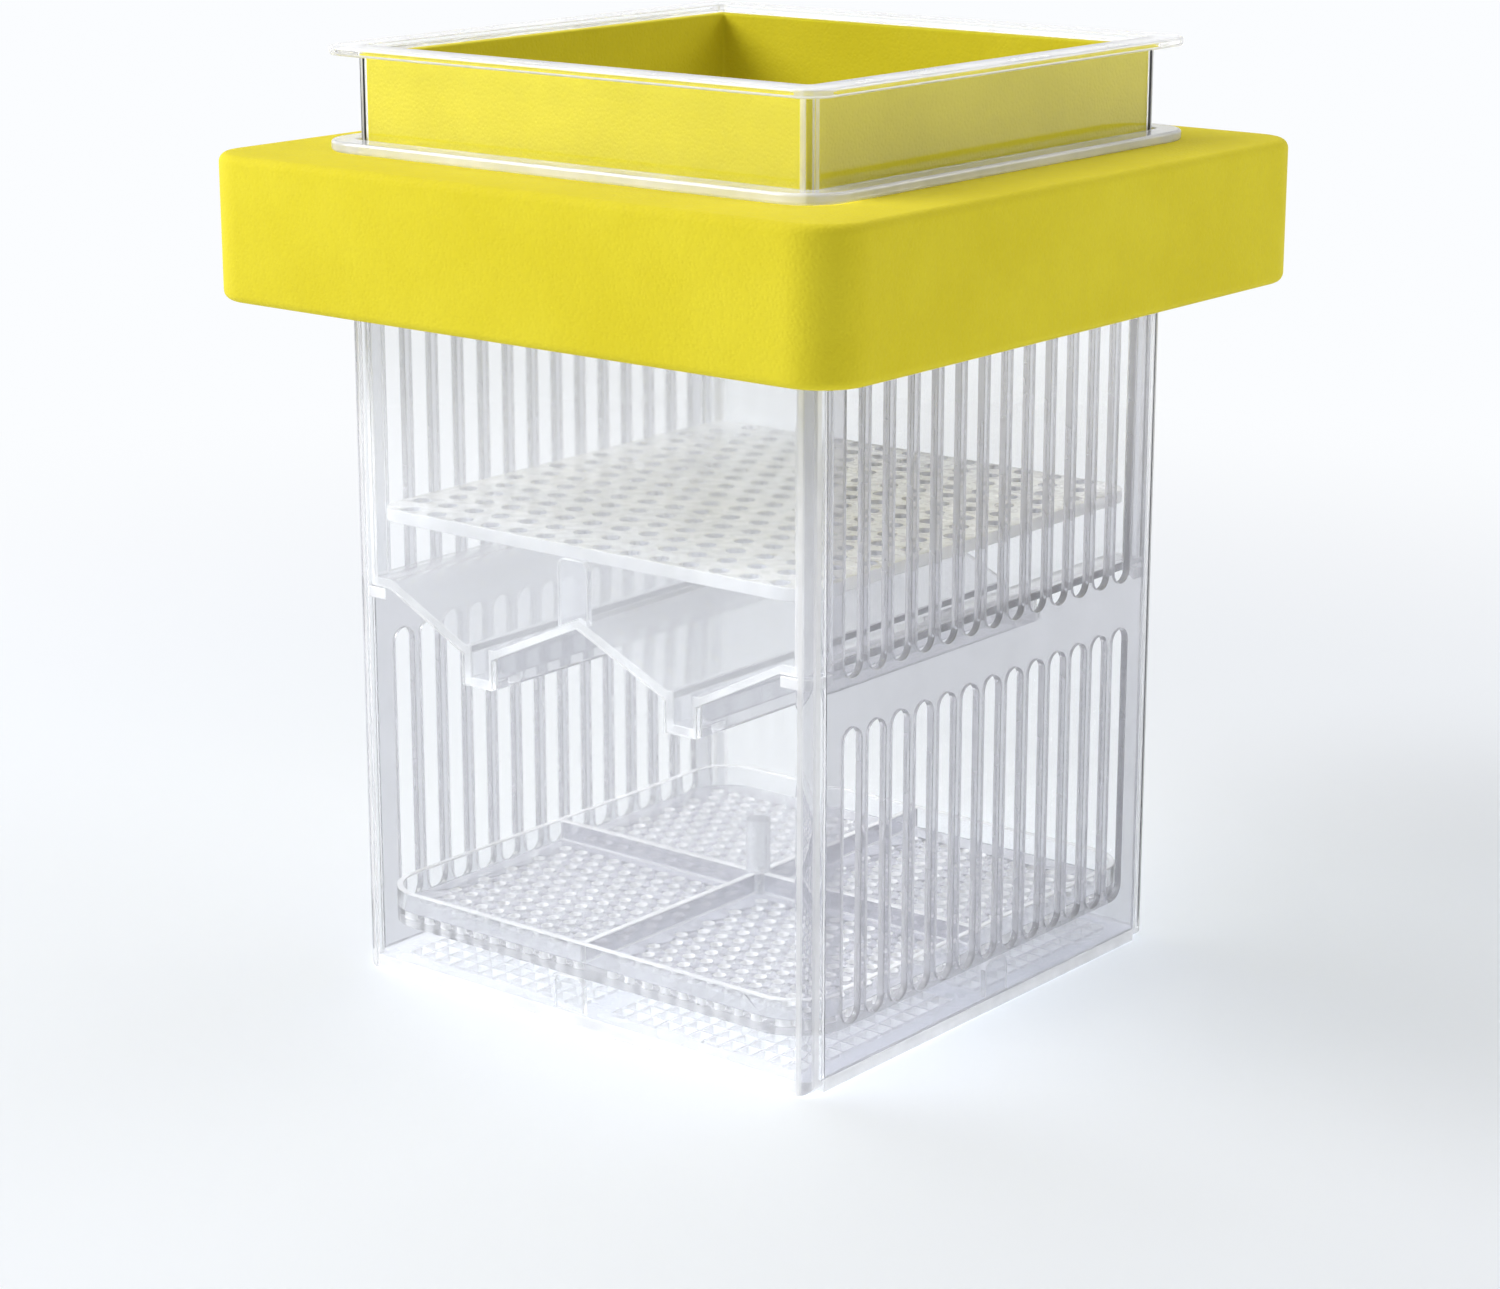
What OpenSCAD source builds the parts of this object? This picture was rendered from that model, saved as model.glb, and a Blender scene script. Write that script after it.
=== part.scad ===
// Floating fish breeding box: a clear box hung in a foam ring, with a lift-out
// basket, a spawning shelf and a fry tray. Millimetres, +Z up. The origin is the
// centre of the base's underside. The plain panels face -Y and +Y, and the slotted
// panels face -X and +X.

/* [Box] */
// Outside width and depth of the clear box
box_width = 100; // [80:1:140]
// Height of the panels' top edge above the base's underside
panel_top = 144.9; // [135:0.1:180]
// Thickness of every clear panel
panel_thickness = 1.4; // [1:0.1:2.5]
// Outside radius of the box's upright corners
corner_radius = 3; // [3:0.5:6]
// How far a plain panel runs past its corner on to the slotted side
corner_lap = 1.2; // [0.5:0.1:4]
// Radius of the plain panels' two lower corners
lower_corner_radius = 2.5; // [1:0.5:5]
// How far the corner seats reach under the basket, along each wall
seat_cover = 3.4; // [2:0.1:5]
// Thickness of the corner seats
seat_thickness = 2; // [1:0.1:4]

/* [Slots] */
// Distance from slot to slot
slot_pitch = 6.45; // [5:0.05:8]
// Width of one slot
slot_width = 4.45; // [2:0.05:4.8]
// Height of one slot, with its round ends
slot_height = 50; // [30:1:55]
// Lower end of the lower row
lower_row_z = 10; // [5:0.5:16]
// Height of the plain band between the two rows
slot_band = 8.5; // [3:0.5:12]
// Least distance from the end slots to the panel's upright edges
slot_margin = 4.5; // [2:0.5:12]

/* [Base] */
// Thickness of the base plate
base_thickness = 2.2; // [1.5:0.1:4]
// Side of one square hole
base_hole = 2.6; // [1.5:0.1:2.8]
// Distance from hole to hole
base_pitch = 3.45; // [3.2:0.05:6]
// Half the width of the plain cross between the four fields of holes
base_cross_half = 3; // [2:0.5:8]
// Least plain border between the holes and the walls
base_margin = 4; // [3:0.5:14]
// Height of the upright rests that carry the tray
rest_height = 6.5; // [3:0.1:10]
// Width of the rests, those of the shelf too
rest_width = 6.6; // [4:0.1:12]
// Thickness of the rests, those of the shelf too
rest_thickness = 1.3; // [1:0.1:3]
// Radius of the rests' upper corners, those of the shelf too
rest_round = 1.6; // [0.5:0.1:2]
// How far the plain walls' rests stand off the middle
end_rest_shift = 2.4; // [0:0.1:10]
// How far the slotted walls' rests stand off the middle
side_rest_shift = 3.6; // [0:0.1:10]

/* [Rim and float ring] */
// How far the rim frame stands out past the box
rim_overhang = 3.5; // [2:0.1:10]
// Outside corner radius of the rim frame
rim_radius = 8; // [4:0.5:12]
// Thickness of the rim frame
rim_thickness = 1.9; // [1.5:0.1:4]
// Width of the foam ring's wall
ring_wall = 16.9; // [8:0.1:30]
// Outside corner radius of the foam ring
ring_radius = 9.5; // [5:0.5:20]
// Height of the foam ring
ring_height = 24.7; // [15:0.1:40]
// Rounding of the foam ring's outer edges
ring_edge = 1.6; // [0.5:0.1:4]
// Gap between the foam ring and the box that it grips
ring_gap = 0.3; // [0.2:0.05:1]

/* [Basket] */
// Gap between the basket and the inside of the box
basket_gap = 0.3; // [0.2:0.05:1]
// Thickness of the basket's walls
basket_wall = 1.3; // [1:0.1:2.5]
// How much rounder the basket's corners are than the box's inside
corner_ease = 0.9; // [0:0.1:2]
// How far the basket's neck stands up above the rim frame
neck_rise = 15.6; // [8:0.1:40]
// Height of the basket's closed neck, with its flange
neck_height = 43.4; // [30:0.1:60]
// How far the top flange stands out past the neck
flange_overhang = 4.3; // [2:0.1:10]
// Outside corner radius of the top flange
flange_radius = 5; // [4:0.5:10]
// Thickness of the top flange
flange_thickness = 1.6; // [1.5:0.1:4]
// Width of the corner posts beside the basket's open sides
post_width = 5.4; // [4:0.1:10]
// Radius of the basket's lower corners
post_round = 2; // [1:0.1:2.2]
// Thickness of the foam lining in the neck
liner_thickness = 2.5; // [1:0.1:6]
// How far the lining stops below the top flange's upper face
liner_drop = 1.4; // [0.5:0.1:6]
// Height of the lining
liner_height = 40; // [15:0.5:42]

/* [Hatchery floor] */
// Top of the floor at the basket's sides and along the ridge
floor_high = 71.4; // [66:0.1:76]
// Depth of the two valleys, down to the chutes
valley_depth = 8.6; // [4:0.1:12]
// Upright thickness of the sloping sheet
floor_sheet = 1.5; // [1:0.1:3]
// Distance of each chute's centre line from the ridge
chute_offset = 22.4; // [16:0.1:26]
// Width of the chutes' passage and slit
chute_gap = 3.9; // [2:0.1:6]
// Thickness of the chutes' walls and floor
chute_wall = 1.5; // [1:0.1:2]
// How far the chutes hang down below the valleys
chute_drop = 7; // [4:0.1:12]
// Closed length at each end of a chute's slit
chute_closed_end = 5; // [2:0.5:15]

/* [Spawning shelf] */
// Height of the shelf's underside above the ridge
shelf_rise = 10.1; // [6:0.1:20]
// Thickness of the shelf
shelf_thickness = 2.3; // [1.5:0.1:4]
// Corner radius of the shelf
shelf_radius = 5; // [4:0.5:12]
// Diameter of the shelf's holes
shelf_hole = 3.2; // [2:0.1:3.8]
// Distance between the shelf's holes along a row
shelf_pitch_x = 6.2; // [4.5:0.1:9]
// Distance between the shelf's rows
shelf_pitch_y = 5.9; // [4.5:0.1:9]
// Least plain border between the shelf's holes and its edge
shelf_margin = 0.7; // [0.5:0.1:6]
// Gap between the shelf and the basket
shelf_gap = 0.3; // [0.2:0.05:1]
// How far the shelf's two rests stand off the middle
ridge_rest_shift = 1.2; // [0:0.1:5]

/* [Fry tray] */
// Thickness of the tray's floor
tray_floor = 2.5; // [1.5:0.1:4]
// Height of the tray's rim above its underside
tray_height = 6.3; // [5:0.1:12]
// Thickness of the tray's rim and dividers
tray_wall = 1.3; // [1:0.1:2.5]
// Corner radius of the tray
tray_radius = 9; // [6:0.1:14]
// Gap between the tray and the box
tray_gap = 0.4; // [0.2:0.05:1]
// Diameter of the tray's holes
tray_hole = 2; // [1:0.1:2.6]
// Distance between the tray's holes along a row
tray_pitch_x = 3.9; // [3.2:0.1:6]
// Distance between the tray's rows
tray_pitch_y = 3.7; // [3.2:0.1:6]
// Half the width of the plain cross under the dividers
tray_cross_half = 2.8; // [2:0.1:6]
// Plain border inside the tray's rim
tray_margin = 2.5; // [2:0.5:8]
// Diameter of the lifting post
lifting_post_diameter = 4.4; // [3:0.1:8]
// Height of the lifting post above the tray's floor
lifting_post_height = 13.7; // [8:0.1:30]

/* [Rounding] */
// Rounding of the two flanges' outer edges
flange_edge = 0.6; // [0.2:0.1:0.7]

/* [Hidden] */
$fn = 48;
overlap = 1;

clear_plastic = [0.86, 0.9, 0.93, 0.45];
yellow_foam = [0.88, 0.83, 0.25];

box_half = box_width / 2;
inner_half = box_half - panel_thickness;
inner_radius = corner_radius - panel_thickness;
return_edge = box_half - corner_radius - corner_lap;
rim_half = box_half + rim_overhang;
rim_top = panel_top + rim_thickness;

slot_reach = return_edge - slot_margin - slot_width / 2;
slots_each_side = floor(slot_reach / slot_pitch);
upper_row_z = lower_row_z + slot_height + slot_band;

base_field = inner_half - base_margin - base_cross_half;
base_holes = floor(base_field / base_pitch);

ring_bore_half = box_half + ring_gap;
ring_half = ring_bore_half + ring_wall;
ring_bottom = panel_top - ring_height;

basket_half = inner_half - basket_gap;
basket_inner = basket_half - basket_wall;
basket_radius = inner_radius + corner_ease;
basket_inner_radius = max(basket_radius - basket_wall, 0.2);
basket_top = rim_top + neck_rise;
neck_bottom = basket_top - neck_height;
post_edge = basket_half - post_width;
liner_bottom = basket_top - liner_drop - liner_height;

// A seat's leg reaches past the gap and the basket's round corner.
seat_leg = 2 * basket_gap + (2 - sqrt(2)) * basket_radius + seat_cover;
ledge_edge = inner_half - seat_leg - basket_gap;

floor_low = floor_high - valley_depth;
floor_high_under = floor_high - floor_sheet;
floor_low_under = floor_low - floor_sheet;
chute_half = chute_gap / 2 + chute_wall;
chute_near = chute_offset - chute_half;
chute_far = chute_offset + chute_half;
chute_bottom = floor_low - chute_drop;

shelf_z = floor_high + shelf_rise;
shelf_half = basket_inner - shelf_gap;
shelf_reach = shelf_half - shelf_hole / 2 - shelf_margin;
shelf_columns = floor(shelf_reach / shelf_pitch_x);
shelf_row_pairs = floor(shelf_reach / shelf_pitch_y + 0.5);

tray_z = base_thickness + rest_height;
tray_half = inner_half - tray_gap;
tray_inner = tray_half - tray_wall;
tray_floor_top = tray_z + tray_floor;
divider_height = tray_height - tray_floor;

// The separate pieces, from the outside in.

// Shared shapes

// A square outline with round corners, centred on the origin.
module rounded_square(half, radius) {
    straight = 2 * (half - radius);
    square([2 * half, straight], center = true);
    square([straight, 2 * half], center = true);
    for (x = [-1, 1], y = [-1, 1])
        translate([x * (half - radius), y * (half - radius)])
            circle(r = radius);
}

// A square frame of even wall, as an outline.
module rounded_frame(half, radius, wall) {
    difference() {
        rounded_square(half, radius);
        rounded_square(half - wall, max(radius - wall, 0.2));
    }
}

// A slot outline with round ends, its length along Y.
module slot_outline(width, length) {
    square([width, length - width], center = true);
    for (end = [-1, 1])
        translate([0, end * (length - width) / 2])
            circle(d = width);
}

// A bar section with four round corners, standing on the X axis.
module rounded_bar(width, height, radius) {
    translate([-width / 2 + radius, 0])
        square([width - 2 * radius, height]);
    translate([-width / 2, radius])
        square([width, height - 2 * radius]);
    for (x = [-1, 1], y = [radius, height - radius])
        translate([x * (width / 2 - radius), y])
            circle(r = radius);
}

// A tab outline that stands on the X axis, its two upper corners round.
module tab_outline(width, height, radius) {
    translate([-width / 2, 0])
        square([width, height - radius]);
    translate([-width / 2 + radius, 0])
        square([width - 2 * radius, height]);
    for (x = [-1, 1])
        translate([x * (width / 2 - radius), height - radius])
            circle(r = radius);
}

// How far a point lies past the straight stretches of a square with round corners.
function past_straight(x, y, straight) =
    norm([max(abs(x) - straight, 0), max(abs(y) - straight, 0)]);

// A square slab with round corners and softly rounded outer edges.
module soft_slab(half, radius, edge, height) {
    straight = 2 * (half - radius);
    for (turn = [0, 90])
        rotate([0, 0, turn])
            translate([straight / 2, 0, 0])
                rotate([90, 0, -90])
                    linear_extrude(straight)
                        rounded_bar(2 * half, height, edge);
    for (turn = [0 : 90 : 270])
        rotate([0, 0, turn])
            translate([half - radius, half - radius, 0])
                rotate_extrude(angle = 90)
                    intersection() {
                        rounded_bar(2 * radius, height, edge);
                        square([radius, height]);
                    }
}

// A soft slab with a straight square hole through it.
module soft_frame(half, radius, edge, height, hole_half, hole_radius) {
    difference() {
        soft_slab(half, radius, edge, height);
        translate([0, 0, -overlap])
            linear_extrude(height + 2 * overlap)
                rounded_square(hole_half, hole_radius);
    }
}

// A plate that stands upright from a given Y, its outline drawn in X and Z.
module upright_plate(y_from, thickness) {
    translate([0, y_from + thickness, 0])
        rotate([90, 0, 0])
            linear_extrude(thickness)
                children();
}

// The clear box

module base_outline() {
    square([2 * box_half, 2 * return_edge], center = true);
    rounded_square(inner_half, inner_radius);
}

module base_hole_field() {
    first = base_cross_half + base_pitch / 2;
    for (column = [0 : base_holes - 1], row = [0 : base_holes - 1])
        translate([first + column * base_pitch, first + row * base_pitch])
            square(base_hole, center = true);
}

module base_grid() {
    color(clear_plastic)
        linear_extrude(base_thickness)
            difference() {
                base_outline();
                for (turn = [0 : 90 : 270])
                    rotate(turn)
                        base_hole_field();
            }
}

module tray_rest(shift) {
    translate([shift, 0, base_thickness])
        upright_plate(-inner_half, rest_thickness)
            tab_outline(rest_width, rest_height, rest_round);
}

// One rest stands against the middle of each wall.
module tray_rests() {
    color(clear_plastic)
        for (turn = [0, 180]) {
            rotate([0, 0, turn])
                tray_rest(-end_rest_shift);
            rotate([0, 0, turn + 90])
                tray_rest(side_rest_shift);
        }
}

module plain_panel_face() {
    translate([-box_half, lower_corner_radius])
        square([box_width, panel_top - lower_corner_radius]);
    translate([-box_half + lower_corner_radius, 0])
        square([box_width - 2 * lower_corner_radius, panel_top]);
    for (x = [-1, 1])
        translate([x * (box_half - lower_corner_radius), lower_corner_radius])
            circle(r = lower_corner_radius);
}

// A plain panel turns both corners and ends in a short return.
module plain_panel() {
    intersection() {
        linear_extrude(panel_top)
            difference() {
                rounded_frame(box_half, corner_radius, panel_thickness);
                translate([-box_half - overlap, -return_edge])
                    square([box_width + 2 * overlap, box_width]);
            }
        upright_plate(-box_half - overlap, box_half)
            plain_panel_face();
    }
}

module front_panel() {
    color(clear_plastic)
        plain_panel();
}

module back_panel() {
    color(clear_plastic)
        rotate([0, 0, 180])
            plain_panel();
}

module slot_row(lower_end) {
    for (index = [-slots_each_side : slots_each_side])
        translate([index * slot_pitch, lower_end + slot_height / 2])
            slot_outline(slot_width, slot_height);
}

// The slotted grille: two rows of upright slots with round ends.
module slotted_panel() {
    rotate([0, 0, 90])
        upright_plate(-box_half, panel_thickness)
            difference() {
                translate([-return_edge, base_thickness])
                    square([2 * return_edge, panel_top - base_thickness]);
                slot_row(lower_row_z);
                slot_row(upper_row_z);
            }
}

module left_slot_panel() {
    color(clear_plastic)
        mirror([1, 0, 0])
            slotted_panel();
}

module right_slot_panel() {
    color(clear_plastic)
        slotted_panel();
}

// A three-cornered seat in each inner corner carries the basket.
module basket_seats() {
    color(clear_plastic)
        translate([0, 0, floor_high_under - seat_thickness])
            linear_extrude(seat_thickness)
                intersection() {
                    rounded_square(inner_half, inner_radius);
                    for (turn = [0 : 90 : 270])
                        rotate(turn)
                            polygon([
                                [inner_half, inner_half],
                                [inner_half - seat_leg, inner_half],
                                [inner_half, inner_half - seat_leg]
                            ]);
                }
}

module box_rim() {
    color(clear_plastic)
        translate([0, 0, panel_top])
            soft_frame(rim_half, rim_radius, flange_edge, rim_thickness, inner_half, inner_radius);
}

// The float ring grips the box under its rim.
module float_ring() {
    color(yellow_foam)
        translate([0, 0, ring_bottom])
            soft_frame(
                ring_half,
                ring_radius,
                ring_edge,
                ring_height,
                ring_bore_half,
                corner_radius + ring_gap
            );
}

// The lift-out basket

module basket_neck() {
    color(clear_plastic) {
        translate([0, 0, neck_bottom])
            linear_extrude(neck_height)
                rounded_frame(basket_half, basket_radius, basket_wall);
        translate([0, 0, basket_top - flange_thickness])
            soft_frame(
                basket_half + flange_overhang,
                flange_radius,
                flange_edge,
                flange_thickness,
                basket_inner,
                basket_inner_radius
            );
    }
}

module neck_liner() {
    color(yellow_foam)
        translate([0, 0, liner_bottom])
            linear_extrude(liner_height)
                rounded_frame(basket_inner, basket_inner_radius, liner_thickness);
}

// Half of an end wall's outline, from the ridge round to the neck. Its lower edge
// follows the W of the floor.
wall_half = [
    [0, floor_high_under],
    [chute_near, floor_low_under],
    [chute_near, chute_bottom],
    [chute_far, chute_bottom],
    [chute_far, floor_low_under],
    [ledge_edge, floor_high_under],
    [basket_half, floor_high_under],
    [basket_half, neck_bottom]
];

module end_wall_face() {
    difference() {
        polygon(concat(
            wall_half,
            [for (index = [len(wall_half) - 1 : -1 : 1]) [-wall_half[index].x, wall_half[index].y]]
        ));
        for (side = [-1, 1])
            translate([side * (basket_half - post_round), floor_high_under + post_round])
                difference() {
                    translate([side * post_round, -post_round])
                        square(2 * post_round, center = true);
                    circle(r = post_round);
                }
    }
}

// An end wall turns both corners and ends in the posts of the open sides.
module basket_end_wall() {
    intersection() {
        linear_extrude(neck_bottom)
            difference() {
                rounded_frame(basket_half, basket_radius, basket_wall);
                translate([-box_half, -post_edge])
                    square([box_width, box_width]);
            }
        upright_plate(-box_half, box_half)
            end_wall_face();
    }
}

module basket_front_wall() {
    color(clear_plastic)
        basket_end_wall();
}

module basket_back_wall() {
    color(clear_plastic)
        rotate([0, 0, 180])
            basket_end_wall();
}

// The sloping sheet from the ridge out to a given X, open over the chute.
module floor_section(outer_x) {
    polygon([
        [0, floor_high],
        [chute_near, floor_low],
        [chute_near, floor_low_under],
        [0, floor_high_under]
    ]);
    polygon([
        [chute_far, floor_low],
        [ledge_edge, floor_high],
        [outer_x, floor_high],
        [outer_x, floor_high_under],
        [ledge_edge, floor_high_under],
        [chute_far, floor_low_under]
    ]);
}

// A chute: an upright trough with a slit along its floor.
module chute() {
    translate([chute_offset, 0, chute_bottom])
        difference() {
            linear_extrude(chute_drop)
                square([2 * chute_half, 2 * basket_inner], center = true);
            translate([0, 0, chute_wall])
                linear_extrude(chute_drop)
                    square([chute_gap, 2 * basket_half], center = true);
            translate([0, 0, -overlap])
                linear_extrude(chute_drop)
                    slot_outline(chute_gap, 2 * (basket_inner - chute_closed_end));
        }
}

// The W-shaped hatchery floor guides what falls through the shelf to the chutes.
module hatchery_floor() {
    color(clear_plastic)
        for (side = [0, 1])
            mirror([side, 0, 0]) {
                upright_plate(-basket_inner, 2 * basket_inner)
                    floor_section(basket_inner);
                upright_plate(-post_edge, 2 * post_edge)
                    floor_section(basket_half);
                chute();
            }
}

// A shelf rest straddles the ridge, against an end wall.
module shelf_rest() {
    difference() {
        translate([-ridge_rest_shift, 0, floor_low])
            upright_plate(-basket_inner, rest_thickness)
                tab_outline(rest_width, shelf_z - floor_low, rest_round);
        upright_plate(-basket_half, basket_half)
            polygon([
                [0, floor_high],
                [chute_near, floor_low],
                [chute_near, chute_bottom],
                [-chute_near, chute_bottom],
                [-chute_near, floor_low]
            ]);
    }
}

module front_shelf_rest() {
    color(clear_plastic)
        shelf_rest();
}

module back_shelf_rest() {
    color(clear_plastic)
        rotate([0, 0, 180])
            shelf_rest();
}

// The spawning shelf: rows of round holes, every other row set over by half.
module spawning_shelf() {
    color(clear_plastic)
        translate([0, 0, shelf_z])
            linear_extrude(shelf_thickness)
                difference() {
                    rounded_square(shelf_half, shelf_radius);
                    for (row = [-shelf_row_pairs : shelf_row_pairs - 1])
                        shelf_hole_row(row);
                }
}

module shelf_hole_row(row) {
    set_over = abs(row + 1) % 2;
    corner = shelf_half - shelf_radius;
    corner_reach = shelf_radius - shelf_hole / 2 - shelf_margin;
    y = (row + 0.5) * shelf_pitch_y;
    for (column = [-shelf_columns : shelf_columns - set_over]) {
        x = (column + set_over / 2) * shelf_pitch_x;
        if (past_straight(x, y, corner) < corner_reach)
            translate([x, y])
                circle(d = shelf_hole);
    }
}

// The fry tray

// Holes of one quarter of the tray, kept off its rim and its round corner.
module tray_hole_field() {
    first = tray_cross_half + tray_hole / 2;
    last = tray_inner - tray_margin;
    corner = tray_half - tray_radius;
    corner_reach = tray_radius - tray_wall - tray_margin;
    for (row = [0 : floor((last - first) / tray_pitch_y)])
        for (column = [0 : floor((last - first) / tray_pitch_x)]) {
            x = first + (column + (row % 2) / 2) * tray_pitch_x;
            y = first + row * tray_pitch_y;
            if (x < last && past_straight(x, y, corner) < corner_reach)
                translate([x, y])
                    circle(d = tray_hole);
        }
}

module fry_tray() {
    color(clear_plastic)
        translate([0, 0, tray_z]) {
            linear_extrude(tray_floor)
                difference() {
                    rounded_square(tray_half, tray_radius);
                    for (x = [0, 1], y = [0, 1])
                        mirror([x, 0])
                            mirror([0, y])
                                tray_hole_field();
                }
            linear_extrude(tray_height)
                rounded_frame(tray_half, tray_radius, tray_wall);
        }
}

// A divider with half its height notched away where it crosses the other.
module divider(notch_from) {
    translate([0, 0, tray_floor_top])
        difference() {
            translate([-tray_inner, -tray_wall / 2, 0])
                cube([2 * tray_inner, tray_wall, divider_height]);
            translate([-tray_wall / 2, -tray_wall, notch_from])
                cube([tray_wall, 2 * tray_wall, divider_height]);
        }
}

module lengthwise_divider() {
    color(clear_plastic)
        rotate([0, 0, 90])
            divider(divider_height / 2);
}

module crosswise_divider() {
    color(clear_plastic)
        divider(-divider_height / 2);
}

// The lifting post straddles the crossing of the two dividers.
module lifting_post() {
    color(clear_plastic)
        translate([0, 0, tray_floor_top])
            difference() {
                cylinder(d = lifting_post_diameter, h = lifting_post_height);
                for (turn = [0, 90])
                    rotate([0, 0, turn])
                        translate([-lifting_post_diameter, -tray_wall / 2, -overlap])
                            cube([
                                2 * lifting_post_diameter,
                                tray_wall,
                                divider_height + overlap
                            ]);
            }
}

base_grid();
tray_rests();
front_panel();
back_panel();
left_slot_panel();
right_slot_panel();
basket_seats();
box_rim();
float_ring();
basket_neck();
neck_liner();
basket_front_wall();
basket_back_wall();
hatchery_floor();
front_shelf_rest();
back_shelf_rest();
spawning_shelf();
fry_tray();
lengthwise_divider();
crosswise_divider();
lifting_post();
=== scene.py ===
"""Looks of the floating fish breeding box: clear moulded plastic and yellow foam."""

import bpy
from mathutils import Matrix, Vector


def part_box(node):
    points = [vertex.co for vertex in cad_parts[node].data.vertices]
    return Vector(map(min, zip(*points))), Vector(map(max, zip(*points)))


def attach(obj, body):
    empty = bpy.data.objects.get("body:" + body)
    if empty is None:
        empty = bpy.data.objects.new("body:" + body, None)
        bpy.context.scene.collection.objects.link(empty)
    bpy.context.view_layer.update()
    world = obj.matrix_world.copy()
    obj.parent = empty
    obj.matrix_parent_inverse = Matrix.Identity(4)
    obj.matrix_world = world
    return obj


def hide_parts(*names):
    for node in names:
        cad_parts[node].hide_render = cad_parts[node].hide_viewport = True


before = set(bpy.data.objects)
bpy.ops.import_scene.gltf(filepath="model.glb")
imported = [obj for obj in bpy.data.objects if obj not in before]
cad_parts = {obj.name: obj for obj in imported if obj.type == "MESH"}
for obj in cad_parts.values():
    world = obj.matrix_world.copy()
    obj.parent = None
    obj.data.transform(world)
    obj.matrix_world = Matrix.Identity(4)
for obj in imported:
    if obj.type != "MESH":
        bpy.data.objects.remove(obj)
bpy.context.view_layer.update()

import logging
import math
from dataclasses import dataclass
from enum import Enum
from typing import Any, Callable, Mapping, Optional, Sequence, Union

import bmesh
import bpy
from mathutils import Vector

log = logging.getLogger("breeding_box")

Colour = tuple[float, float, float]
Number = Union[float, "Signal"]
Test = Callable[[Any], bool]

MM = 0.001

# The surroundings' colours and the fill light's strength
SKY: Colour = (0.965, 0.98, 1.0)
PALE_FLOOR: Colour = (0.9, 0.93, 0.98)
WHITE: Colour = (1.0, 1.0, 1.0)
FILL = 0.26

# How much of a unit normal or edge lies along an axis for it to count as along it
ALONG = 0.9
# The same for the broad side of a panel, for a corner's turn and for a sheet's end
BROADSIDE = 0.995
TURN = 0.35
SHEET_END = 0.1

# How close points are merged, and at which angles in degrees a moulding's edges are
# dissolved, broken and shaded crisp
MERGE = 0.002 * MM
FLAT_ANGLE = 1.0
SHARP_ANGLE = 40.0
CRISP_ANGLE = 50.0
# Angle in radians over which a foam frame's edge is rounded
SQUARE_EDGE = 1.0
# Height of the painted highlight band along the upper edge of the tray's rim
RIM_HIGHLIGHT_BAND = 0.3 * MM


# ---------------------------------------------------------------- shader writing


class Signal:
    """A node's output that takes part in Python arithmetic."""

    def __init__(self, graph: "Graph", socket: bpy.types.NodeSocket) -> None:
        """Wraps one output socket of a graph."""
        self.graph = graph
        self.socket = socket

    def _math(self, operation: str, first: Number, second: Number) -> "Signal":
        """Adds one Math node.

        Args:
            operation: The Math node's operation.
            first: Its first operand.
            second: Its second operand.

        Returns:
            The node's result.
        """
        made = self.graph.node(
            "ShaderNodeMath", {"operation": operation}, {0: first, 1: second}
        )
        return Signal(self.graph, made.outputs[0])

    def __add__(self, other: Number) -> "Signal":
        """Adds a number or a signal."""
        return self._math("ADD", self, other)

    def __radd__(self, other: Number) -> "Signal":
        """Adds to a number."""
        return self._math("ADD", other, self)

    def __sub__(self, other: Number) -> "Signal":
        """Takes a number or a signal away."""
        return self._math("SUBTRACT", self, other)

    def __rsub__(self, other: Number) -> "Signal":
        """Takes this away from a number."""
        return self._math("SUBTRACT", other, self)

    def __mul__(self, other: Number) -> "Signal":
        """Multiplies by a number or a signal."""
        return self._math("MULTIPLY", self, other)

    def __rmul__(self, other: Number) -> "Signal":
        """Multiplies a number."""
        return self._math("MULTIPLY", other, self)

    def ramp(self, low: float, high: float, start: float, end: float) -> "Signal":
        """Maps one range to another and clamps it.

        Args:
            low: Input that gives start.
            high: Input that gives end.
            start: Output at low.
            end: Output at high.

        Returns:
            The mapped signal.
        """
        made = self.graph.node(
            "ShaderNodeMapRange",
            {"interpolation_type": "SMOOTHSTEP"},
            {"Value": self, "From Min": low, "From Max": high, "To Min": start, "To Max": end},
        )
        return Signal(self.graph, made.outputs[0])


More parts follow.
